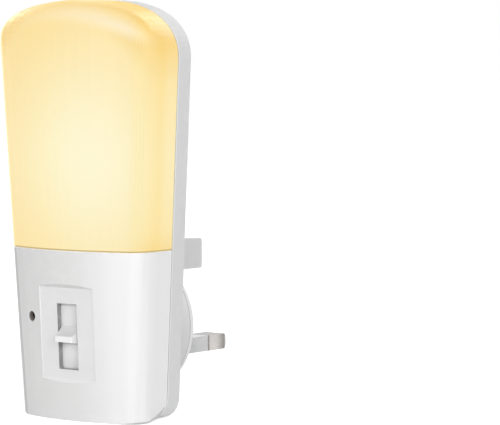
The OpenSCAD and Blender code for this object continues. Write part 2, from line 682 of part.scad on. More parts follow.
// The tab from above: straight sides and two eased front corners
module tab_plan() {
  front_w = tab_width - 2 * tab_corner_r;
  translate([-tab_width / 2, tab_corner_r - tab_reach])
    square([tab_width, tab_reach - tab_corner_r + strip_y + eps]);
  translate([-front_w / 2, -tab_reach]) square([front_w, tab_reach]);
  for (s = [-1, 1]) translate([s * front_w / 2, tab_corner_r - tab_reach]) circle(r = tab_corner_r);
}
module slider_knob() {
  half = tab_height / 2;
  lip_low = tab_rise - half;
  lip_high = lip_low + tab_lip;
  slope_y = strip_y - 0.3;
  scoop_r = 5;
  dx = tab_reach + slope_y;
  dz = half - lip_high;
  chord = sqrt(dx * dx + dz * dz);
  off = sqrt(scoop_r * scoop_r - chord * chord / 4);
  color([0.96, 0.96, 0.97])
  at_rest() {
    translate([-strip_width / 2, strip_y, -strip_half]) cube([strip_width, strip_t, 2 * strip_half]);
    difference() {
      intersection() {
        translate([0, 0, -half]) linear_extrude(tab_height) tab_plan();
        translate([-tab_width, 0, 0]) rotate([90, 0, 90]) linear_extrude(2 * tab_width)
          polygon([[strip_y + eps, -half], [strip_y + eps, half], [slope_y, half], [-tab_reach, lip_high],
            [-tab_reach, lip_low], [0, -half]]);
      }
      translate([-tab_width, slope_y - dx / 2 - off * dz / chord, half - dz / 2 + off * dx / chord])
        rotate([0, 90, 0]) cylinder(r = scoop_r, h = 2 * tab_width, $fn = 96);
    }
    difference() {
      translate([-socket[0] / 2, strip_y + strip_t - eps, -socket[2] / 2]) cube(socket);
      translate([-lever[0] / 2 - 0.1, strip_y + strip_t + 0.4, -lever[1] / 2 - 0.1])
        cube([lever[0] + 0.2, socket[1], lever[1] + 0.2]);
    }
  }
}
frame_wall = 0.4;
wafer_t = 1.2;
frame_front_y = board_front_y - dimmer_depth;
// Distances along the panel's own Y, at the slot's centre
function in_panel(y) = (y - panel_y(slot_z)) / cos(slope);
carriage_front = in_panel(frame_front_y + frame_wall + 0.9);
carriage_t = 2.2;
carriage_w = dimmer_width - 2 * frame_wall - 1.4;
carriage_h = tab_height + 1;
module dimmer_carriage() {
  color([0.2, 0.2, 0.22])
  at_rest() {
    translate([-carriage_w / 2, carriage_front, -carriage_h / 2]) cube([carriage_w, carriage_t, carriage_h]);
    translate([-lever[0] / 2, strip_y + strip_t + 0.5, -lever[1] / 2])
      cube([lever[0], carriage_front - strip_y - strip_t - 0.5 + eps, lever[1]]);
  }
}
module dimmer_wiper() {
  wafer_front = in_panel(board_front_y - wafer_t);
  start = carriage_front + carriage_t;
  color("gold")
  at_rest() for (s = [-1, 1]) translate([s * 2 - 0.5, start, -2]) {
    cube([1, 0.3, 4]);
    cube([1, wafer_front - start - 0.35, 0.3]);
  }
}
module dimmer_frame() {
  window = 2 * half_travel + lever[1] + 1.4;
  color([0.75, 0.76, 0.78])
  difference() {
    block(0, board_front_y, slot_z, dimmer_width, dimmer_depth, dimmer_length);
    block(0, board_front_y + cut, slot_z, dimmer_width - 2 * frame_wall, dimmer_depth - frame_wall + cut,
      dimmer_length - 2 * frame_wall);
    block(0, frame_front_y + 2 * frame_wall, slot_z, lever[0] + 0.8, 2 * frame_wall + cut, window);
  }
}
module dimmer_wafer() {
  inside = 2 * frame_wall + 0.1;
  color([0.45, 0.28, 0.15])
  block(0, board_front_y, slot_z, dimmer_width - inside, wafer_t, dimmer_length - inside);
}

/* The light sensor looks out of its hole through a dark tube */
sensor_inside_y = part_y - depth(sensor_z) + base_wall
  + crown_r - sqrt(crown_r * crown_r - pow(sensor_offset + sensor_tube_d / 2, 2));
module light_sensor() {
  color([0.75, 0.82, 0.9]) {
    rod(-sensor_offset, board_front_y, sensor_z, sensor_d / 2, 3.6);
    translate([-sensor_offset, board_front_y - 3.6, sensor_z]) rotate([90, 0, 0])
      intersection() {
        sphere(d = sensor_d);
        cylinder(d = sensor_d, h = sensor_d / 2);
      }
  }
}
module sensor_tube() {
  tube_length = board_front_y - sensor_inside_y - 0.8;
  color([0.12, 0.12, 0.13])
  difference() {
    rod(-sensor_offset, board_front_y, sensor_z, sensor_tube_d / 2, tube_length);
    rod(-sensor_offset, board_front_y + cut, sensor_z, sensor_d / 2 + 0.1, tube_length + 2 * cut);
  }
}

/* Other parts on the control board: two columns beside the slide control */
column_x = (board_width / 2 + dimmer_width / 2) / 2;
column_w = (board_width - dimmer_width) / 2 - 3.2;
module film_capacitor() {
  low = low_holes[1] + screw_head_d / 2 + part_gap;
  high = leg_z - tag_t / 2 - part_gap;
  color([0.85, 0.7, 0.2]) translate([column_x, 0, (low + high) / 2])
    plate(board_front_y, dimmer_depth - 0.2) rounded_rect(column_w, high - low, 0.6);
}
module smoothing_capacitor() {
  can_r = column_w / 2 - 0.7;
  low = leg_z + tag_t / 2 + part_gap;
  can_length = board_top_z - low - 3;
  bead_z = can_length * 0.78;
  color([0.15, 0.2, 0.35]) translate([column_x, board_front_y - can_r, low]) rotate_extrude() {
    square([can_r, bead_z]);
    translate([0, bead_z]) square([can_r - 0.3, 0.6]);
    translate([0, bead_z + 0.6]) square([can_r, can_length - bead_z - 0.6]);
  }
}
module bridge_rectifier() {
  color([0.15, 0.15, 0.16]) block(-column_x, board_front_y, slot_z - 8.6, 4.8, 2.4, 6.4);
}
module fuse_resistor() {
  r = 1.5;
  color([0.5, 0.62, 0.5]) translate([-pins_x + leg_width / 2 + part_gap + r, board_front_y - r, slot_z - 4])
    cylinder(r = r, h = 7);
}
module driver_chip() {
  color([0.15, 0.15, 0.16]) block(0, board_front_y, slot_z + dimmer_length / 2 + 3, 5, 1.5, 3.8);
}
module chip_resistors() {
  color([0.1, 0.1, 0.1]) for (i = [-1 : 1])
    block(i * 4, board_front_y, slot_z - dimmer_length / 2 - 2, 1.6, 0.5, 0.8);
}

lens();
front_housing();
rear_housing();
plug_base();
earth_pin();
line_pin();
neutral_pin();
line_sleeve();
neutral_sleeve();
pin_retainer();
retainer_screws();
line_tag();
neutral_tag();
control_board();
light_board();
board_screws();
case_screws();
leds();
reflector();
link_wires();
slider_knob();
dimmer_carriage();
dimmer_wiper();
dimmer_frame();
dimmer_wafer();
light_sensor();
sensor_tube();
film_capacitor();
smoothing_capacitor();
bridge_rectifier();
fuse_resistor();
driver_chip();
chip_resistors();
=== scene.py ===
"""Looks of a plug-in night light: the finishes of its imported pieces, the studio and the camera."""

import logging
import math
from dataclasses import dataclass, field
from enum import Enum

import bmesh
import bpy
from mathutils import Matrix, Vector


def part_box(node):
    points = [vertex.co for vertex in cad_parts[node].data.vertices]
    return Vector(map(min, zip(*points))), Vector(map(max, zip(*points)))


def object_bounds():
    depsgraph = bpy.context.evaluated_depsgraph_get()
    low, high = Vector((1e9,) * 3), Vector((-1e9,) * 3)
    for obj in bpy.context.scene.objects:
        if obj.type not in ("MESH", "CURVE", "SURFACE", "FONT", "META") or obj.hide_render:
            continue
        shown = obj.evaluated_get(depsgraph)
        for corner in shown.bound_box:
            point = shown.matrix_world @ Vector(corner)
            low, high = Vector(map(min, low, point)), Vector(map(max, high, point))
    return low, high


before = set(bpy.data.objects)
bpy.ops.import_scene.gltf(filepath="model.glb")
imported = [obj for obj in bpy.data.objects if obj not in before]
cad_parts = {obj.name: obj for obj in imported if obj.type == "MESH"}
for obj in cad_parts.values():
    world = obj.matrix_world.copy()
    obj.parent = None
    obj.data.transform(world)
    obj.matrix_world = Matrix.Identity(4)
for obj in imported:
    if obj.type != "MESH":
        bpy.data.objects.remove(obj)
cad_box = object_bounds()

log = logging.getLogger("night_light")
MM = 0.001
Rgb = tuple[float, float, float]
Range = tuple[float, float]
Socket = bpy.types.NodeSocket

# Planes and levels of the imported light, in millimetres
LENS_LOW, LENS_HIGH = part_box("lens")
PART_Y = LENS_HIGH.y / MM
SPLIT_Z = LENS_LOW.z / MM
SEAM = 0.3
SLOT_Z = 4.2
SLOT_HALF = (3.27, 8.37)
PANEL_X = (-9.0, 9.0)
PANEL_Z = (-6.6, 16.6)
CRESCENT = 2.4
HOLE_AT = (-12.5, 8.7)
HOLE_R = 1.33
TAB_REST = 0.5
TAB_Z = SLOT_Z + TAB_REST
TAB_HALF = 2.15
SLEEVE_END = 9.5
PIN_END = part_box("line_pin")[1].y / MM
FLOOR_GAP = 0.02
BEYOND = 60.0  # past the light on the side that a range leaves open

# Ranges of the surface's normal
DOWNWARD = ("Z", -2.0, -0.3)
UPWARD = ("Z", 0.3, 2.0)

WHITE = (1.0, 1.0, 1.0, 1.0)


class NodeBench:
    """Puts nodes into one node tree and wires them."""

    def __init__(self, tree: bpy.types.NodeTree) -> None:
        """Takes the tree that the nodes go into.

        Args:
            tree: node tree of a material, a world or a group.
        """
        self.tree = tree
        self.count = 0

    def add(self, kind: str, label: str = "", **settings: object) -> bpy.types.Node:
        """Adds one node.

        Args:
            kind: Blender's name of the node's class, without the leading ShaderNode.
            label: what the node does, for whoever opens the tree.
            **settings: properties of the node.

        Returns:
            The new node.
        """
        node = self.tree.nodes.new(kind if kind.startswith("Node") else "ShaderNode" + kind)
        node.label = label
        node.location = ((self.count % 6) * 220, -(self.count // 6) * 260)
        self.count += 1
        for name, value in settings.items():
            setattr(node, name, value)
        return node

    def wire(self, source: Socket, target: Socket) -> None:
        """Joins an output socket to an input socket.

        Args:
            source: output socket.
            target: input socket.
        """
        self.tree.links.new(source, target)

    def math(self, operation: str, a: Socket | float, b: Socket | float = 0.0, clamp: bool = False) -> Socket:
        """Adds a math node.

        Args:
            operation: Blender's name of the operation.
            a: first value, a socket or a number.
            b: second value, a socket or a number.
            clamp: keeps the result from 0 to 1.

        Returns:
            The result's socket.
        """
        node = self.add("Math", operation=operation, use_clamp=clamp)
        for i, value in enumerate((a, b)):
            if isinstance(value, bpy.types.NodeSocket):
                self.wire(value, node.inputs[i])
            else:
                node.inputs[i].default_value = value
        return node.outputs[0]

    def spread(
        self, value: Socket, low: float, high: float, to_low: float = 0.0, to_high: float = 1.0
    ) -> Socket:
        """Maps a range of values to another, smoothly and clamped.

        Args:
            value: value that is mapped.
            low: value that becomes to_low.
            high: value that becomes to_high.
            to_low: lower end of the result.
            to_high: upper end of the result.

        Returns:
            The result's socket.
        """
        node = self.add("MapRange", interpolation_type="SMOOTHSTEP")
        self.wire(value, node.inputs["Value"])
        for name, number in (("From Min", low), ("From Max", high), ("To Min", to_low), ("To Max", to_high)):
            node.inputs[name].default_value = number
        return node.outputs["Result"]

    def within(self, value: Socket, reach: Range, soft: float) -> Socket:
        """Adds a mask that is 1 where a value lies in a range, with soft ends.

        Args:
            value: value that is tested.
            reach: the range's low and high end.
            soft: half the width of each soft end.

        Returns:
            The mask's socket.
        """
        low, high = reach
        rising = self.spread(value, low - soft, low + soft)
        falling = self.spread(value, high - soft, high + soft, 1.0, 0.0)
        return self.math("MULTIPLY", rising, falling)

    def noise(self, at: Socket, scale: float, detail: float = 3.0, rough: float = 0.55) -> Socket:
        """Adds a noise texture.

        Args:
            at: where it is read, in metres.
            scale: waves in a metre.
            detail: octaves.
            rough: weight of the finer octaves.

        Returns:
            The noise value's socket, around 0.5.
        """
        node = self.add("TexNoise")
        self.wire(at, node.inputs["Vector"])
        node.inputs["Scale"].default_value = scale
        node.inputs["Detail"].default_value = detail
        node.inputs["Roughness"].default_value = rough
        return node.outputs["Fac"]

    def stretched(self, at: Socket, stretch: tuple[float, float, float]) -> Socket:
        """Scales coordinates, so that a pattern read there is drawn out.

        Args:
            at: coordinates.
            stretch: factor along each axis.

        Returns:
            The scaled coordinates' socket.
        """
        node = self.add("Mapping")
        self.wire(at, node.inputs["Vector"])
        node.inputs["Scale"].default_value = stretch
        return node.outputs["Vector"]

    def blend(self, share: Socket | float, a: Socket | Rgb, b: Socket | Rgb, how: str = "MIX") -> Socket:
        """Mixes two colours.

        Args:
            share: how much of the second colour shows.
            a: first colour.
            b: second colour.
            how: Blender's name of the blend type.

        Returns:
            The mixed colour's socket.
        """
        node = self.add("Mix", data_type="RGBA", blend_type=how)
        for socket, value in ((node.inputs[0], share), (node.inputs[6], a), (node.inputs[7], b)):
            if isinstance(value, bpy.types.NodeSocket):
                self.wire(value, socket)
            elif isinstance(value, tuple):
                socket.default_value = (*value, 1.0)
            else:
                socket.default_value = value
        return node.outputs[2]


def srgb(red: float, green: float, blue: float) -> Rgb:
    """Turns a display colour from 0 to 255 into a linear one.

    Args:
        red: red, from 0 to 255.
        green: green, from 0 to 255.
        blue: blue, from 0 to 255.

    Returns:
        The linear colour.
    """

    def linear(value: float) -> float:
        """Returns one channel on the linear scale."""
        share = value / 255
        return share / 12.92 if share <= 0.04045 else ((share + 0.055) / 1.055) ** 2.4

    return linear(red), linear(green), linear(blue)


class Effect:
    """A shader node group that several finishes share, built once."""

    name = "effect"
    inputs: tuple[tuple[str, str, object], ...] = ()
    outputs: tuple[tuple[str, str], ...] = ()

    @classmethod
    def group(cls) -> bpy.types.NodeTree:
        """Returns the group, which is built on the first call."""
        found = bpy.data.node_groups.get(cls.name)
        if found:
            return found
        tree = bpy.data.node_groups.new(cls.name, "ShaderNodeTree")
        for name, kind, default in cls.inputs:
            socket = tree.interface.new_socket(name=name, in_out="INPUT", socket_type=kind)
            if default is not None:
                socket.default_value = default
        for name, kind in cls.outputs:
            tree.interface.new_socket(name=name, in_out="OUTPUT", socket_type=kind)
        bench = NodeBench(tree)
        cls.build(bench, bench.add("NodeGroupInput"), bench.add("NodeGroupOutput"))
        return tree

    @classmethod
    def build(cls, bench: NodeBench, given: bpy.types.Node, result: bpy.types.Node) -> None:
        """Fills the group.

        Args:
            bench: bench on the group's tree.
            given: the group's input node.
            result: the group's output node.
        """
        raise NotImplementedError

    @classmethod
    def place(cls, bench: NodeBench, **values: object) -> bpy.types.Node:
        """Puts the effect into a material.

        Args:
            bench: bench on the material's tree.
            **values: sockets or constants for the inputs, with _ for a blank in a name.

        Returns:
            The group's node.
        """
        node = bench.add("Group", label=cls.name)
        node.node_tree = cls.group()
        for name, value in values.items():
            socket = node.inputs[name.replace("_", " ")]
            if isinstance(value, bpy.types.NodeSocket):
                bench.wire(value, socket)
            else:
                socket.default_value = (*value, 1.0) if isinstance(value, tuple) else value
        return node


FLOAT, COLOUR, VECTOR = "NodeSocketFloat", "NodeSocketColor", "NodeSocketVector"


class MouldedSkin(Effect):
    """Colour drift, speckle, flow marks and fine spark-eroded grain of moulded plastic."""

    name = "moulded_skin"
    inputs = (
        ("At", VECTOR, None),
        ("Tint", COLOUR, (0.8, 0.8, 0.8, 1.0)),
        ("Drift", FLOAT, 0.03),
        ("Polish", FLOAT, 0.35),
    )
    outputs = (("Color", COLOUR), ("Roughness", FLOAT), ("Height", FLOAT))

    # Waves in a metre of each pattern
    CLOUDS, FLOW_MARKS, SPECKS, MATT_SPOTS, DIMPLES = 45, 160, 2600, 220, 5200

    @classmethod
    def build(cls, bench: NodeBench, given: bpy.types.Node, result: bpy.types.Node) -> None:
        """Fills the group; see Effect.build for the arguments."""
        at = given.outputs["At"]
        cloud = bench.noise(at, cls.CLOUDS, 2)
        flow = bench.noise(bench.stretched(at, (1, 1, 0.22)), cls.FLOW_MARKS, 3)
        speck = bench.noise(at, cls.SPECKS, 2, 0.7)
        uneven = bench.math("ADD", bench.math("MULTIPLY", cloud, 0.6), bench.math("MULTIPLY", flow, 0.4))
        swing = bench.math("MULTIPLY", bench.math("SUBTRACT", uneven, 0.5), given.outputs["Drift"])
        level = bench.math("ADD", bench.math("MULTIPLY", swing, 2.0), 1.0)
        scale = bench.add("VectorMath", operation="SCALE")
        bench.wire(given.outputs["Tint"], scale.inputs[0])
        bench.wire(level, scale.inputs["Scale"])
        bench.wire(scale.outputs[0], result.inputs["Color"])
        matt = bench.math("MULTIPLY", bench.math("SUBTRACT", bench.noise(at, cls.MATT_SPOTS, 3), 0.5), 0.16)
        grainy = bench.math("MULTIPLY", bench.math("SUBTRACT", speck, 0.5), 0.12)
        rough = bench.math("ADD", given.outputs["Polish"], bench.math("ADD", matt, grainy), clamp=True)
        bench.wire(rough, result.inputs["Roughness"])
        dimple = bench.noise(at, cls.DIMPLES, 1.5, 0.6)
        bench.wire(bench.math("ADD", dimple, bench.math("MULTIPLY", flow, 0.35)), result.inputs["Height"])


class Handling(Effect):
    """Rubbed edges, dust on what faces up and in corners, and a few hair scratches."""

    name = "handling"
    inputs = (
        ("At", VECTOR, None),
        ("Color", COLOUR, (0.8, 0.8, 0.8, 1.0)),
        ("Roughness", FLOAT, 0.4),
        ("Rub", FLOAT, 0.3),
        ("Dust", FLOAT, 0.1),
        ("Scratches", FLOAT, 0.2),
    )
    outputs = (("Color", COLOUR), ("Roughness", FLOAT), ("Height", FLOAT))

    @classmethod
    def build(cls, bench: NodeBench, given: bpy.types.Node, result: bpy.types.Node) -> None:
        """Fills the group; see Effect.build for the arguments."""
        at = given.outputs["At"]
        shape = bench.add("NewGeometry")
        patchy = bench.spread(bench.noise(at, 420, 4, 0.65), 0.42, 0.68)
        edge = bench.spread(shape.outputs["Pointiness"], 0.53, 0.62)
        rub = bench.math("MULTIPLY", bench.math("MULTIPLY", edge, patchy), given.outputs["Rub"])
        corner = bench.spread(shape.outputs["Pointiness"], 0.47, 0.4)
        facing = bench.add("SeparateXYZ")
        bench.wire(shape.outputs["Normal"], facing.inputs[0])
        upward = bench.spread(facing.outputs["Z"], 0.55, 0.98)
        settled = bench.math("MAXIMUM", corner, bench.math("MULTIPLY", upward, patchy))
        dust = bench.math("MULTIPLY", settled, given.outputs["Dust"])
        turned = bench.add("Mapping")
        bench.wire(at, turned.inputs["Vector"])
        turned.inputs["Rotation"].default_value = (0.3, 0.5, 0.7)
        turned.inputs["Scale"].default_value = (1.0, 1.0, 0.03)
        hair = bench.spread(bench.noise(turned.outputs["Vector"], 1900, 1, 0.3), 0.72, 0.78)
        some = bench.spread(bench.noise(at, 90, 2), 0.5, 0.66)
        scratch = bench.math("MULTIPLY", bench.math("MULTIPLY", hair, some), given.outputs["Scratches"])
        pale = bench.blend(rub, given.outputs["Color"], (0.9, 0.9, 0.9))
        dusty = bench.blend(dust, pale, srgb(188, 184, 176))
        bench.wire(dusty, result.inputs["Color"])
        matt = bench.math("ADD", bench.math("MULTIPLY", dust, 0.3), bench.math("MULTIPLY", scratch, 0.3))
        rough = bench.math("ADD", given.outputs["Roughness"], matt, clamp=True)
        bench.wire(rough, result.inputs["Roughness"])
        bench.wire(bench.math("MULTIPLY", scratch, -1.0), result.inputs["Height"])


class Draw(Effect):
    """Fine lines that a brush or a drawing die leaves along the length of metal."""

    name = "drawn_lines"
    inputs = (("At", VECTOR, None), ("Tint", COLOUR, (0.6, 0.6, 0.6, 1.0)), ("Polish", FLOAT, 0.3))
    outputs = (("Color", COLOUR), ("Roughness", FLOAT), ("Height", FLOAT))

    @classmethod
    def build(cls, bench: NodeBench, given: bpy.types.Node, result: bpy.types.Node) -> None:
        """Fills the group; see Effect.build for the arguments."""
        at = given.outputs["At"]
        lines = bench.noise(bench.stretched(at, (1, 0.04, 1)), 4200, 3, 0.7)
        stain = bench.noise(at, 350, 3)
        level = bench.math("ADD", bench.math("MULTIPLY", bench.math("ADD", lines, stain), 0.22), 0.78)
        scale = bench.add("VectorMath", operation="SCALE")
        bench.wire(given.outputs["Tint"], scale.inputs[0])
        bench.wire(level, scale.inputs["Scale"])
        bench.wire(scale.outputs[0], result.inputs["Color"])
        uneven = bench.math("MULTIPLY", bench.math("SUBTRACT", lines, 0.5), 0.3)
        rough = bench.math("ADD", given.outputs["Polish"], uneven, clamp=True)
        bench.wire(rough, result.inputs["Roughness"])
        bench.wire(lines, result.inputs["Height"])


@dataclass(frozen=True)
class PaintedLight:
    """A region of a skin painted with a colour that stands in for light or shade (painted shade, shadow,
    highlight or reflection), given by ranges in millimetres that it lies in.

    The range on facing is on one part of the surface's normal, from -1 to 1.
    """

    colour: Rgb
    x: Range | None = None
    y: Range | None = None
    z: Range | None = None
    facing: tuple[str, float, float] | None = None
    # glint: white emission added on the region, a painted highlight
    glint: float = 0.0
    soft: float = 0.08
    turn: float = 0.03

    def share(self, bench: NodeBench, at: Socket) -> Socket:
        """Adds a mask that is 1 in the region.

        Args:
            bench: bench on the material's tree.
            at: object coordinates.

        Returns:
            The mask's socket.
        """
        apart = bench.add("SeparateXYZ")
        bench.wire(at, apart.inputs[0])
        parts = []
        for axis, reach in (("X", self.x), ("Y", self.y), ("Z", self.z)):
            if reach:
                value = bench.math("DIVIDE", apart.outputs[axis], MM)
                parts.append(bench.within(value, reach, self.soft))
        if self.facing:
            axis, low, high = self.facing
            normal = bench.add("SeparateXYZ")
            bench.wire(bench.add("TexCoord").outputs["Normal"], normal.inputs[0])
            parts.append(bench.within(normal.outputs[axis], (low, high), self.turn))
        mask = parts[0]
        for part in parts[1:]:
            mask = bench.math("MULTIPLY", mask, part)
        return mask


@dataclass(frozen=True)
class Finish:
    """One material: a moulded, lacquered or otherwise plain skin with its signs of use, and patches of
    painted light and shade laid on its colour.
    """

    name: str
    tint: Rgb
    polish: float = 0.35
    drift: float = 0.03
    grain: float = 0.03
    rub: float = 0.2
    dust: float = 0.06
    scratches: float = 0.2
    coat: float = 0.0
    metallic: float = 0.0
    specular: float = 0.5
    patches: tuple[PaintedLight, ...] = ()

    def material(self) -> bpy.types.Material:
        """Returns the material, which is built on the first call."""
        found = bpy.data.materials.get(self.name)
        if found:
            return found
        material = bpy.data.materials.new(self.name)
        material.use_nodes = True
        material.node_tree.nodes.clear()
        bench = NodeBench(material.node_tree)
        shader = bench.add("BsdfPrincipled")
        shader.inputs["Metallic"].default_value = self.metallic
        shader.inputs["Coat Weight"].default_value = self.coat
        shader.inputs["Specular IOR Level"].default_value = self.specular
        out = bench.add("OutputMaterial")
        bench.wire(shader.outputs[0], out.inputs["Surface"])
        at = bench.add("TexCoord").outputs["Object"]
        self.dress(bench, shader, at)
        material.diffuse_color = (*self.tint, 1.0)
        return material

    def tone(self, bench: NodeBench, at: Socket) -> Socket | Rgb:
        """Adds the colour of the skin with its patches of painted light and shade.

        Args:
            bench: bench on the material's tree.
            at: object coordinates.

        Returns:
            The colour, or its socket where the skin has patches.
        """
        tone = self.tint
        for patch in self.patches:
            tone = bench.blend(patch.share(bench, at), tone, patch.colour)
        return tone

    def skin(self, bench: NodeBench, at: Socket) -> bpy.types.Node:
        """Adds the skin that lies under the signs of use.

        Args:
            bench: bench on the material's tree.
            at: object coordinates.

        Returns:
            A node with Color, Roughness and Height.
        """
        return MouldedSkin.place(
            bench, At=at, Tint=self.tone(bench, at), Drift=self.drift, Polish=self.polish
        )

    def glint(self, bench: NodeBench, shader: bpy.types.Node, at: Socket) -> None:
        """Adds the painted highlights, white emission on the patches that glint; see dress for the arguments.
        """
        caught = [patch for patch in self.patches if patch.glint]
        total = 0.0
        for patch in caught:
            total = bench.math("ADD", bench.math("MULTIPLY", patch.share(bench, at), patch.glint), total)
        if caught:
            shader.inputs["Emission Color"].default_value = WHITE
            bench.wire(total, shader.inputs["Emission Strength"])

    def dress(self, bench: NodeBench, shader: bpy.types.Node, at: Socket) -> None:
        """Wires the skin and the signs of use to the shader.

        Args:
            bench: bench on the material's tree.
            shader: the Principled BSDF.
            at: object coordinates.
        """
        skin = self.skin(bench, at)
        used = Handling.place(
            bench,
            At=at,
            Color=skin.outputs["Color"],
            Roughness=skin.outputs["Roughness"],
            Rub=self.rub,
            Dust=self.dust,
            Scratches=self.scratches,
        )
        bench.wire(used.outputs["Color"], shader.inputs["Base Color"])
        bench.wire(used.outputs["Roughness"], shader.inputs["Roughness"])
        fine = bench.add("Bump")
        fine.inputs["Strength"].default_value = self.grain
        fine.inputs["Distance"].default_value = 0.05 * MM
        bench.wire(skin.outputs["Height"], fine.inputs["Height"])
        marks = bench.add("Bump")
        marks.inputs["Strength"].default_value = 0.15
        marks.inputs["Distance"].default_value = 0.02 * MM
        bench.wire(used.outputs["Height"], marks.inputs["Height"])
        bench.wire(fine.outputs["Normal"], marks.inputs["Normal"])
        bench.wire(marks.outputs["Normal"], shader.inputs["Normal"])
        self.glint(bench, shader, at)


@dataclass(frozen=True)
class MetalFinish(Finish):
    """Drawn, plated or pressed metal."""

    metallic: float = 1.0
    grain: float = 0.12
    rub: float = 0.0
    dust: float = 0.03

    def skin(self, bench: NodeBench, at: Socket) -> bpy.types.Node:
        """Adds drawn metal; see Finish.skin for the arguments and the result."""
        return Draw.place(bench, At=at, Tint=self.tone(bench, at), Polish=self.polish)


@dataclass(frozen=True)
class Wash:
    """One layer of the glow: a colour laid over the layers before it, where all its ramps have risen.

    A ramp names what it reads and runs from 0 at its first value to 1 at its second. It reads X, Y or Z in
    millimetres, NX or NZ for the way the surface faces, or FAR for the distance from the outer oval.
    """

    colour: Rgb
    ramps: tuple[tuple[str, float, float], ...]
    share: float = 1.0
    how: str = "MIX"

    def over(self, bench: NodeBench, under: Socket, values: dict[str, Socket]) -> Socket:
        """Lays the layer over a colour.

        Args:
            bench: bench on the material's tree.
            under: the colour below.
            values: what the ramps read, by name.

        Returns:
            The colour with the layer.
        """
        mask: Socket | float = self.share
        for name, low, high in self.ramps:
            mask = bench.math("MULTIPLY", bench.spread(values[name], low, high), mask)
        return bench.blend(mask, under, self.colour, self.how)


@dataclass(frozen=True)
class BrowReflection:
    """A painted reflection of the overhead lamp: a soft bright line along the lens's brow, in millimetres,
    stronger towards the right.
    """

    colour: Rgb = (0.742, 0.899, 1.1)
    top: float = 85.75
    middle: float = 1.77
    sag: float = 9.12
    width: float = 3.37
    rise: Range = (-21.85, 28.0)
    end: Range = (20.03, 26.33)
    share: float = 0.32

    def over(self, bench: NodeBench, under: Socket, values: dict[str, Socket]) -> Socket:
        """Lays the line over a colour; see Wash.over for the arguments and the result."""
        across = bench.math("DIVIDE", bench.math("SUBTRACT", values["X"], self.middle), self.sag)
        level = bench.math("ADD", values["Z"], bench.math("POWER", across, 2.0))
        off = bench.math("ABSOLUTE", bench.math("SUBTRACT", level, self.top))
        line = bench.spread(off, 0.0, self.width, self.share, 0.0)
        ends = bench.math(
            "MULTIPLY", bench.spread(values["X"], *self.rise), bench.spread(values["X"], *self.end, 1.0, 0.0)
        )
        return bench.blend(bench.math("MULTIPLY", line, ends), under, self.colour)


@dataclass(frozen=True)
class Glow:
    """How the light inside shows on the lens, in millimetres of the light's own frame.

    The numbers were found by a program that fitted them to the wanted look, and so were those of the painted
    brow reflection and of each wash. They aren't worked out from the LEDs or from the plastic.
    """

    centre: tuple[float, float] = (5.27, 48.84)
    reach: tuple[float, float] = (39.3, 42.19)
    far_centre: tuple[float, float] = (0.0, 51.48)
    far_reach: tuple[float, float] = (28.29, 32.64)
    outside: Rgb = (0.685, 0.535, 0.252)
    inside: Rgb = (0.7, 0.696, 0.503)
    washes: tuple[Wash, ...] = (
        Wash((0.941, 0.997, 1.15), (("X", -9.22, 16.0), ("NX", 0.7, 0.3)), how="MULTIPLY"),
        Wash((0.819, 0.698, 0.423), (("NX", 0.642, 0.978), ("Z", 70.3, 79.3)), share=0.896),
        Wash((0.174, 0.368, 0.319), (("NX", 0.2, 0.662), ("NX", 1.038, 0.78)), share=0.139),
        Wash((0.523, 0.298, 0.0), (("FAR", 0.985, 1.185),), share=0.369),
        Wash((0.597, 0.411, 0.108), (("NZ", 0.23, 1.13),), share=0.699),
        Wash((0.917, 0.537, 0.0), (("NZ", 0.033, 1.13), ("X", 20.8, 27.3))),
        Wash((0.661, 0.44, 0.0), (("NX", 0.85, 0.97), ("Y", -25.0, -20.5), ("Y", -17.4, -20.2)), share=0.198),
        Wash((0.576, 0.336, 0.0), (("Y", -27.7, -21.1), ("Z", 72.3, 83.7))),
    )
    # painted reflection of the overhead lamp along the brow
    brow_reflection: BrowReflection = field(default_factory=BrowReflection)
    # painted shade: a darker band along the lens's foot, at the joint with the front housing
    foot_shade: Rgb = (0.26, 0.19, 0.06)
    foot_height: float = 0.34


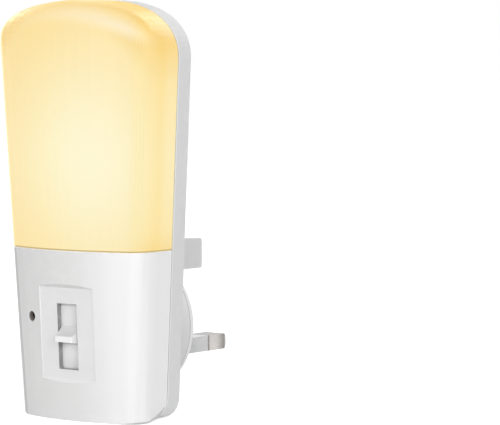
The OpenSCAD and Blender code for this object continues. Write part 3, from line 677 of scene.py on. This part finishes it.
@dataclass(frozen=True)
class LitFinish(Finish):
    """Milky plastic that is lit from inside: bright in the middle, amber round its turned edges, with a
    painted reflection along its brow and painted shade at its foot.
    """

    glow: Glow = field(default_factory=Glow)

    def dress(self, bench: NodeBench, shader: bpy.types.Node, at: Socket) -> None:
        """Adds the glow to the skin; see Finish.dress for the arguments."""
        super().dress(bench, shader, at)
        glow = self.glow
        values = self.readings(bench, at)
        near = bench.spread(self.oval(bench, values, glow.centre, glow.reach), 0.0, 1.0, 1.0, 0.0)
        cloud = bench.spread(bench.noise(at, 60, 2), 0.2, 0.8, 0.96, 1.03)
        colour = bench.blend(bench.math("MULTIPLY", near, cloud), glow.outside, glow.inside)
        values["FAR"] = self.oval(bench, values, glow.far_centre, glow.far_reach)
        for layer in (*glow.washes, glow.brow_reflection):
            colour = layer.over(bench, colour, values)
        # painted shade along the lens's foot at the joint
        foot_shade = bench.within(values["Z"], (SPLIT_Z - 1, SPLIT_Z + glow.foot_height), 0.06)
        colour = bench.blend(foot_shade, colour, glow.foot_shade)
        bench.wire(colour, shader.inputs["Emission Color"])
        shader.inputs["Emission Strength"].default_value = 1.0

    @staticmethod
    def readings(bench: NodeBench, at: Socket) -> dict[str, Socket]:
        """Adds what the layers read: the place in millimetres and the way the surface faces.

        Args:
            bench: bench on the material's tree.
            at: object coordinates.

        Returns:
            The sockets by name.
        """
        place = bench.add("SeparateXYZ")
        bench.wire(at, place.inputs[0])
        values = {axis: bench.math("DIVIDE", place.outputs[axis], MM) for axis in "XYZ"}
        facing = bench.add("SeparateXYZ")
        bench.wire(bench.add("TexCoord").outputs["Normal"], facing.inputs[0])
        return values | {"N" + axis: facing.outputs[axis] for axis in "XZ"}

    @staticmethod
    def oval(
        bench: NodeBench, values: dict[str, Socket], centre: tuple[float, float], reach: tuple[float, float]
    ) -> Socket:
        """Adds the distance from an upright oval's centre, which is 1 on the oval.

        Args:
            bench: bench on the material's tree.
            values: sockets of the place, by axis.
            centre: the oval's centre.
            reach: its half width and half height.

        Returns:
            The distance's socket.
        """
        parts = []
        for axis, middle, half in zip("XZ", centre, reach):
            share = bench.math("DIVIDE", bench.math("SUBTRACT", values[axis], middle), half)
            parts.append(bench.math("POWER", share, 2.0))
        return bench.math("SQRT", bench.math("ADD", *parts))


def pierced_shade(inside: Rgb, bore: Rgb) -> tuple[PaintedLight, ...]:
    """Returns the patches of painted shade on the walls of the slot and of the small round hole.

    Args:
        inside: colour of the painted shade on the slot's walls.
        bore: colour of the painted shade on the hole's wall.

    Returns:
        The patches.
    """
    half_w, half_h = SLOT_HALF
    x, z = HOLE_AT
    return (
        PaintedLight(inside, x=(-half_w, half_w), z=(SLOT_Z - half_h, SLOT_Z + half_h), soft=0.03),
        PaintedLight(
            bore, x=(x - HOLE_R, x + HOLE_R), z=(z - HOLE_R, z + HOLE_R), facing=("Y", -0.5, 0.5), soft=0.03
        ),
    )


# Painted light and shade on the front housing
FRONT_PAINTED_LIGHT = (
    # painted shade: the left part darker
    PaintedLight(srgb(230, 230, 230), x=(-BEYOND, 7), soft=4),
    # the panel kept at the base tone, clear of the painted shade on the left
    PaintedLight(srgb(234, 234, 235), x=PANEL_X, z=PANEL_Z),
    # painted highlight: a paler band and side on the right
    PaintedLight(srgb(240, 239, 240), x=(12.5, BEYOND), y=(-BEYOND, -23.5), soft=2.5),
    PaintedLight(srgb(241, 241, 241), x=(14, BEYOND), y=(-23.5, 0), soft=1),
    PaintedLight(srgb(244, 244, 244), x=(14, BEYOND), y=(-23.5, -20.5), soft=1.2),
    # painted shade on the corner that turns to the left
    PaintedLight(srgb(206, 206, 206), facing=("X", -2.0, -0.33)),
    # painted shade on the down-facing ledges at the panel's top
    PaintedLight(srgb(218, 218, 218), x=PANEL_X, z=(PANEL_Z[1] - 0.3, PANEL_Z[1] + CRESCENT),
          facing=DOWNWARD),
    PaintedLight(srgb(196, 196, 196), x=PANEL_X, z=(PANEL_Z[1] + 1.2, PANEL_Z[1] + 6),
          facing=DOWNWARD, soft=0.7),
    # painted shade on the down-facing lower right corner
    PaintedLight(srgb(204, 204, 204), x=(12, BEYOND), y=(-26.5, 0), z=(-BEYOND, 0), facing=DOWNWARD),
    # painted highlight on the up-facing ledge at the panel's foot
    PaintedLight(srgb(242, 242, 242), x=PANEL_X, z=(PANEL_Z[0] - CRESCENT, PANEL_Z[0] + 0.3),
          facing=UPWARD),
    # painted highlights with white emission on the edge at the lens joint and on the rear edge
    PaintedLight(srgb(245, 245, 245), z=(SPLIT_Z - 0.22, SPLIT_Z + 1), glint=0.12),
    PaintedLight(srgb(240, 240, 240), y=(PART_Y - 0.4, PART_Y + 1), glint=0.07),
    # painted shade on the walls of the slot and of the hole
    *pierced_shade(srgb(142, 142, 142), srgb(160, 152, 148)),
)
REAR_PAINTED_LIGHT = (
    # painted light: down-facing faces at the bottom and up-facing faces near the top made paler
    PaintedLight(srgb(232, 232, 232), z=(-BEYOND, 0), facing=("Z", -2.0, -0.45), turn=0.3),
    PaintedLight(srgb(228, 228, 228), z=(78, 100), facing=("Z", 0.35, 2.0), turn=0.2),
    # painted shade in the groove of the parting line
    PaintedLight(srgb(118, 118, 118), y=(PART_Y - 1, PART_Y + SEAM)),
    # painted highlight with white emission on the ledge behind the groove
    PaintedLight(srgb(235, 235, 235), y=(PART_Y + SEAM, PART_Y + 2 * SEAM), glint=0.05),
)
BOSS_PAINTED_LIGHT = (
    # painted highlight with white emission on the top half, painted shade on the lower half
    PaintedLight(srgb(247, 247, 247), z=(12, 40), soft=9, glint=0.06),
    PaintedLight(srgb(212, 212, 213), z=(-40, -6), soft=7),
    # painted shade as a thin dark line, then a painted highlight on the rounded rim
    PaintedLight(srgb(190, 190, 190), y=(-2.1, -1.8)),
    PaintedLight(srgb(236, 236, 236), y=(-1.8, -0.5)),
)
PIN_PAINTED_LIGHT = (
    # painted reflection and shade on the metal: darker by the sleeve, darkening towards the tip and darkest
    # at it, and darker where it faces up
    PaintedLight(srgb(118, 112, 108), y=(SLEEVE_END - 1, SLEEVE_END + 0.5), soft=0.6),
    PaintedLight(srgb(96, 89, 84), y=(PIN_END - 2.6, PIN_END + 5), soft=2.9),
    PaintedLight(srgb(52, 48, 45), y=(PIN_END - 0.5, PIN_END + 2), soft=0.6),
    PaintedLight(srgb(150, 148, 147), facing=("Z", 0.6, 2.0), turn=0.2),
)
SLEEVE_PAINTED_LIGHT = (
    # darker towards the sleeve's root
    PaintedLight(srgb(186, 186, 187), y=(-9, 2.5), soft=4),
    # painted highlight on the faces that look up
    PaintedLight(srgb(243, 243, 243), facing=("Z", 0.5, 2.0), turn=0.15),
)


class Kit(Enum):
    """The finishes of the light's pieces."""

    LENS = LitFinish(
        "lens_plastic", (0.3, 0.22, 0.08), polish=0.34, drift=0.008, grain=0.006, rub=0.0, dust=0.0,
        scratches=0.01, specular=0.25,
    )
    FRONT = Finish(
        "white_plastic", srgb(234, 234, 235), polish=0.36, drift=0.012, specular=0.45, patches=FRONT_PAINTED_LIGHT
    )
    REAR = Finish(
        "grey_white_plastic", srgb(220, 220, 221), polish=0.4, drift=0.012, specular=0.4, patches=REAR_PAINTED_LIGHT
    )
    BOSS = Finish(
        "boss_plastic", srgb(222, 222, 223), polish=0.4, drift=0.012, specular=0.4, patches=BOSS_PAINTED_LIGHT
    )
    PIN = Finish("pin_plastic", srgb(222, 222, 223), polish=0.38, drift=0.02)
    SLEEVE = Finish("sleeve_plastic", srgb(210, 210, 211), polish=0.4, drift=0.02, patches=SLEEVE_PAINTED_LIGHT)
    NICKEL = MetalFinish("nickel_brass", srgb(190, 186, 183), polish=0.28, drift=0.0, patches=PIN_PAINTED_LIGHT)
    KNOB = Finish(
        "knob_plastic", srgb(237, 237, 238), polish=0.3, drift=0.012,
        patches=(
            # painted shadow under the tab, painted shade on the tab, and a painted highlight with white
            # emission on its front lip
            PaintedLight(srgb(196, 196, 196), z=(TAB_Z - TAB_HALF - 0.45, TAB_Z - TAB_HALF + 0.2)),
            PaintedLight(srgb(226, 226, 227), z=(TAB_Z - TAB_HALF + 0.2, TAB_Z + TAB_HALF)),
            PaintedLight(
                srgb(245, 245, 245), z=(TAB_Z - TAB_HALF, TAB_Z + 0.3), facing=("Y", -2.0, -0.8), glint=0.04
            ),
        ),
    )
    INNER = Finish("inner_plastic", srgb(214, 214, 212), polish=0.5)
    STEEL = MetalFinish("zinc_steel", srgb(186, 188, 190), polish=0.3)
    BRASS = MetalFinish("spring_brass", srgb(206, 176, 108), polish=0.3)
    GREEN_BOARD = Finish("green_board", srgb(28, 92, 52), polish=0.35, coat=0.3)
    WHITE_BOARD = Finish("white_board", srgb(236, 236, 230), polish=0.4)
    PHOSPHOR = Finish("led_phosphor", srgb(248, 214, 118), polish=0.2, coat=0.6)
    BRIGHT = Finish("bright_white_plastic", srgb(244, 244, 242), polish=0.3)
    WIRE = Finish("wire_insulation", srgb(178, 34, 26), polish=0.35)
    BLACK = Finish("black_plastic", srgb(30, 30, 32), polish=0.45)
    DARK = Finish("matt_black_plastic", srgb(10, 9, 9), polish=0.7, specular=0.1, dust=0.0, scratches=0.0)
    FRAME_STEEL = MetalFinish("frame_steel", srgb(190, 192, 194), polish=0.34)
    WAFER = Finish("wafer_resin", srgb(122, 84, 48), polish=0.5)
    CLEAR = Finish("clear_resin", srgb(150, 160, 170), polish=0.1, coat=0.8)
    YELLOW_BOX = Finish("capacitor_box", srgb(212, 168, 56), polish=0.4)
    SLEEVED_CAN = Finish("capacitor_sleeve", srgb(28, 34, 60), polish=0.25)
    EPOXY = Finish("black_epoxy", srgb(28, 28, 29), polish=0.5)
    LACQUER = Finish("resistor_lacquer", srgb(96, 128, 98), polish=0.3)


def dress_node(name: str, kit: Kit) -> bpy.types.Object:
    """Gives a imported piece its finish.

    Args:
        name: the piece's name.
        kit: its finish.

    Returns:
        The piece.
    """
    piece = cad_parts[name]
    piece.data.materials.clear()
    piece.data.materials.append(kit.value.material())
    return piece


@dataclass
class SubAssembly:
    """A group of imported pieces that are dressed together."""

    title: str
    finishes: dict[str, Kit]

    def build(self) -> list[bpy.types.Object]:
        """Dresses the pieces and returns them."""
        return [dress_node(name, kit) for name, kit in self.finishes.items()]


@dataclass(frozen=True)
class Lamp:
    """One softbox: where it hangs round the light, its size in metres, and how strong it is.

    The level is what it lights a white card to, from 0 to 1.
    """

    name: str
    azimuth: float
    elevation: float
    width: float
    height: float
    level: float
    away: float = 1.0


@dataclass
class Studio:
    """White floor, soft lamps and the camera, whose place, directions and lens were found by a fit."""

    floor_size: float = 12.0
    lamps: tuple[Lamp, ...] = (
        Lamp("near_softbox", 30, 15, 0.35, 0.5, 0.28),
        Lamp("right_softbox", 60, 15, 0.35, 0.5, 0.36),
        Lamp("strip_softbox", -8, 5, 0.12, 0.9, 0.2),
        Lamp("top_softbox", 0, 85, 0.8, 0.8, 0.38),
        Lamp("rear_softbox", 190, 20, 0.6, 0.5, 0.3),
        Lamp("left_softbox", -110, 15, 0.35, 0.5, 0.16),
        Lamp("far_softbox", 140, 15, 0.35, 0.5, 0.06),
    )
    sky: float = 0.09
    eye: Vector = field(default_factory=lambda: Vector((459.902, -533.102, 78.667)) * MM)
    right: Vector = field(default_factory=lambda: Vector((0.782943, 0.622067, -0.005647)))
    up: Vector = field(default_factory=lambda: Vector((-0.035107, 0.053245, 0.997964)))
    back: Vector = field(default_factory=lambda: Vector((0.621102, -0.781151, 0.063527)))
    lens_mm: float = 195.45
    sensor_mm: float = 36.0

    def build(self) -> list[bpy.types.Object]:
        """Builds floor, world, lamps and camera, and returns the floor."""
        floor = self.floor()
        self.world()
        for lamp in self.lamps:
            self.hang(lamp)
        self.camera()
        view = bpy.context.scene.view_settings
        view.view_transform = "Standard"
        return [floor]

    def floor(self) -> bpy.types.Object:
        """Builds the floor that the light stands on and returns it."""
        shape = bmesh.new()
        bmesh.ops.create_grid(shape, x_segments=2, y_segments=2, size=self.floor_size / 2)
        bmesh.ops.translate(shape, verts=shape.verts, vec=(0, 0, cad_box[0].z - FLOOR_GAP * MM))
        mesh = bpy.data.meshes.new("floor")
        shape.to_mesh(mesh)
        shape.free()
        floor = bpy.data.objects.new("floor", mesh)
        bpy.context.scene.collection.objects.link(floor)
        floor.data.materials.append(self.floor_material())
        return floor

    @staticmethod
    def seen_directly(bench: NodeBench) -> Socket:
        """Adds a switch that is 1 for what the camera, a mirror or a clear piece sees.

        Args:
            bench: bench on the tree.

        Returns:
            The switch's socket.
        """
        path = bench.add("LightPath")
        direct = bench.math("MAXIMUM", path.outputs["Is Camera Ray"], path.outputs["Is Glossy Ray"])
        return bench.math("MAXIMUM", direct, path.outputs["Is Transmission Ray"])

    def floor_material(self) -> bpy.types.Material:
        """Returns a white floor that keeps the shadow on it."""
        material = bpy.data.materials.new("floor_white")
        material.use_nodes = True
        material.node_tree.nodes.clear()
        bench = NodeBench(material.node_tree)
        out = bench.add("OutputMaterial")
        direct = self.seen_directly(bench)
        paper = bench.add("BsdfDiffuse")
        at = bench.add("TexCoord").outputs["Object"]
        tone = bench.blend(bench.noise(at, 6, 2), (0.84, 0.84, 0.84), (0.87, 0.87, 0.87))
        bench.wire(tone, paper.inputs["Color"])
        glow = bench.add("Emission")
        glow.inputs["Color"].default_value = WHITE
        apart = bench.add("VectorMath", operation="LENGTH")
        bench.wire(at, apart.inputs[0])
        white = bench.spread(apart.outputs["Value"], 0.2, 1.2, 0.62, 0.95)
        bench.wire(bench.math("MULTIPLY", direct, white), glow.inputs["Strength"])
        both = bench.add("AddShader")
        bench.wire(paper.outputs[0], both.inputs[0])
        bench.wire(glow.outputs[0], both.inputs[1])
        bench.wire(both.outputs[0], out.inputs["Surface"])
        return material

    def world(self) -> None:
        """Gives the world a soft pale light, and white where it is seen."""
        world = bpy.data.worlds.new("studio")
        bpy.context.scene.world = world
        world.use_nodes = True
        world.node_tree.nodes.clear()
        bench = NodeBench(world.node_tree)
        out = bench.add("OutputWorld")
        direct = self.seen_directly(bench)
        sky = bench.add("Background")
        level = bench.math("ADD", bench.math("MULTIPLY", direct, 1 - self.sky), self.sky)
        bench.wire(level, sky.inputs["Strength"])
        sky.inputs["Color"].default_value = WHITE
        bench.wire(sky.outputs[0], out.inputs["Surface"])

    def hang(self, lamp: Lamp) -> None:
        """Hangs one softbox, aimed at the light.

        Args:
            lamp: where it hangs, how large it is and how strong.
        """
        data = bpy.data.lights.new(lamp.name, "AREA")
        data.shape = "RECTANGLE"
        data.size, data.size_y = lamp.width, lamp.height
        data.energy = math.pi**2 * lamp.level * lamp.away**2
        box = bpy.data.objects.new(lamp.name, data)
        bpy.context.scene.collection.objects.link(box)
        azimuth, elevation = math.radians(lamp.azimuth), math.radians(lamp.elevation)
        flat = math.cos(elevation)
        towards = Vector((math.sin(azimuth) * flat, -math.cos(azimuth) * flat, math.sin(elevation)))
        box.location = (cad_box[0] + cad_box[1]) / 2 + towards * lamp.away
        box.rotation_euler = (-towards).to_track_quat("-Z", "Y").to_euler()

    def camera(self) -> None:
        """Sets up the camera."""
        data = bpy.data.cameras.new("camera")
        data.lens = self.lens_mm
        data.sensor_width = self.sensor_mm
        data.clip_start, data.clip_end = 0.01, 50
        camera = bpy.data.objects.new("camera", data)
        bpy.context.scene.collection.objects.link(camera)
        turn = Matrix((self.right, self.up, self.back)).transposed()
        camera.matrix_world = Matrix.Translation(self.eye) @ turn.to_4x4()
        bpy.context.scene.camera = camera


def sub_assemblies() -> list[SubAssembly]:
    """Returns the light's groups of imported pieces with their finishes."""
    return [
        SubAssembly("body", {"lens": Kit.LENS, "front_housing": Kit.FRONT, "rear_housing": Kit.REAR}),
        SubAssembly("plug", {
            "plug_base": Kit.BOSS, "earth_pin": Kit.PIN, "line_pin": Kit.NICKEL, "neutral_pin": Kit.NICKEL,
            "line_sleeve": Kit.SLEEVE, "neutral_sleeve": Kit.SLEEVE, "pin_retainer": Kit.INNER,
            "line_tag": Kit.BRASS, "neutral_tag": Kit.BRASS,
        }),
        SubAssembly("fasteners", {
            "retainer_screws": Kit.STEEL, "board_screws": Kit.STEEL, "case_screws": Kit.STEEL,
        }),
        SubAssembly("slide control", {
            "slider_knob": Kit.KNOB, "dimmer_carriage": Kit.BLACK, "dimmer_wiper": Kit.BRASS,
            "dimmer_frame": Kit.FRAME_STEEL, "dimmer_wafer": Kit.WAFER,
        }),
        SubAssembly("electronics", {
            "control_board": Kit.GREEN_BOARD, "light_board": Kit.WHITE_BOARD, "leds": Kit.PHOSPHOR,
            "reflector": Kit.BRIGHT, "link_wires": Kit.WIRE, "light_sensor": Kit.CLEAR,
            "sensor_tube": Kit.DARK, "film_capacitor": Kit.YELLOW_BOX, "smoothing_capacitor": Kit.SLEEVED_CAN,
            "bridge_rectifier": Kit.EPOXY, "fuse_resistor": Kit.LACQUER, "driver_chip": Kit.EPOXY,
            "chip_resistors": Kit.EPOXY,
        }),
    ]


def main() -> None:
    """Dresses the light, sets up the studio and reports each piece."""
    logging.basicConfig(level=logging.INFO, format="%(name)s: %(message)s")
    for packed in list(bpy.data.materials):
        bpy.data.materials.remove(packed)
    for group in sub_assemblies():
        for piece in group.build():
            log.info("%s: %s, %d faces", group.title, piece.name, len(piece.data.polygons))
    for piece in Studio().build():
        log.info("studio: %s", piece.name)


if __name__ == "__main__":
    main()
